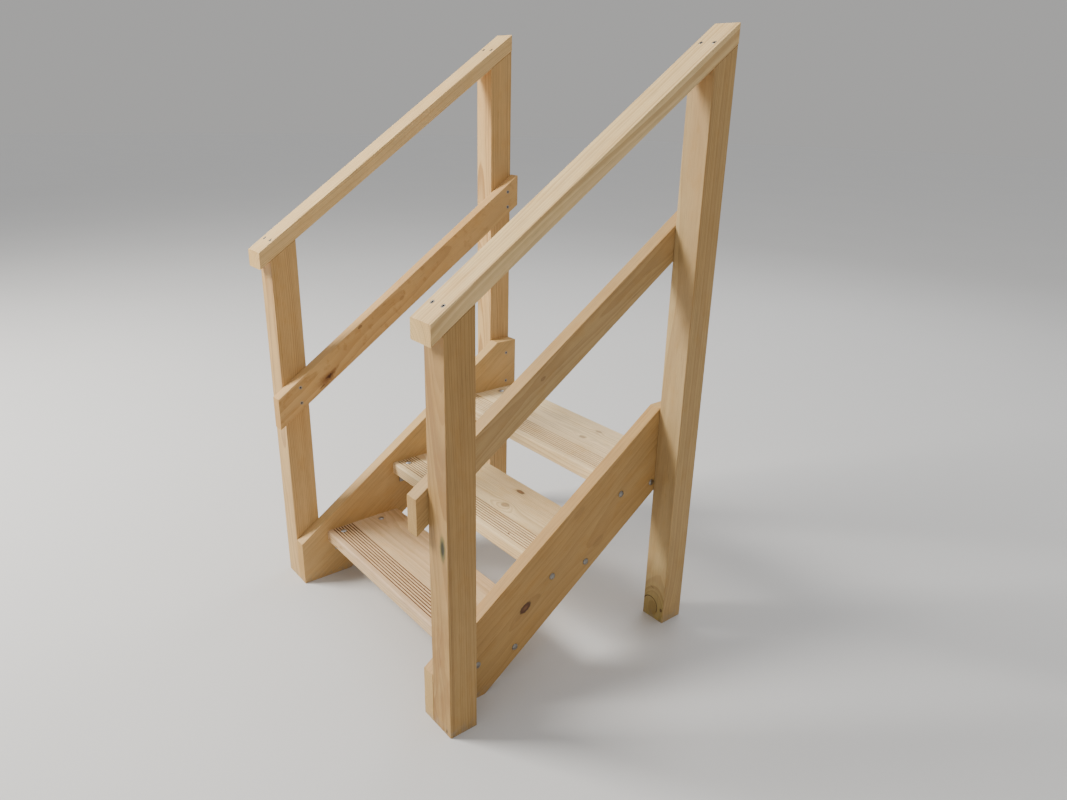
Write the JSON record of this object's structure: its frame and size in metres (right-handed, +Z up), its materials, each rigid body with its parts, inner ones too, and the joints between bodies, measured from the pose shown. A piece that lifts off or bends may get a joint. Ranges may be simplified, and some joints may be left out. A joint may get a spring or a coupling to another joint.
{
  "type": "deck stairs",
  "caption": "Free-standing open-riser timber steps to a deck, with grooved treads on steel angles, square posts, flat handrails and a mid rail on each side.",
  "frame": {"origin": "on the ground, under the middle of the whole object's box", "axes": "+X to the right of someone who climbs the stairs, +Y the way they climb, +Z up"},
  "size_m": [1.095, 0.995, 1.893],
  "materials": {
    "stringer_pine": "dressed treated pine, unpainted",
    "post_pine": "dressed treated pine, unpainted",
    "rail_pine": "dressed treated pine, unpainted",
    "tread_pine": "dressed treated pine, grooved, unpainted",
    "zinc_steel": "zinc plated steel"
  },
  "bodies": {
    "root": {"stringer_left": "stringer_pine", "stringer_right": "stringer_pine", "post_front_left": "post_pine", "post_front_right": "post_pine", "post_back_left": "post_pine", "post_back_right": "post_pine", "handrail_left": "rail_pine", "handrail_right": "rail_pine", "mid_rail_left": "rail_pine", "mid_rail_right": "rail_pine", "tread_1": "tread_pine", "tread_2": "tread_pine", "tread_3": "tread_pine", "bracket_1_left": "zinc_steel", "bracket_1_right": "zinc_steel", "bracket_2_left": "zinc_steel", "bracket_2_right": "zinc_steel", "bracket_3_left": "zinc_steel", "bracket_3_right": "zinc_steel"}
  },
  "joints": []
}
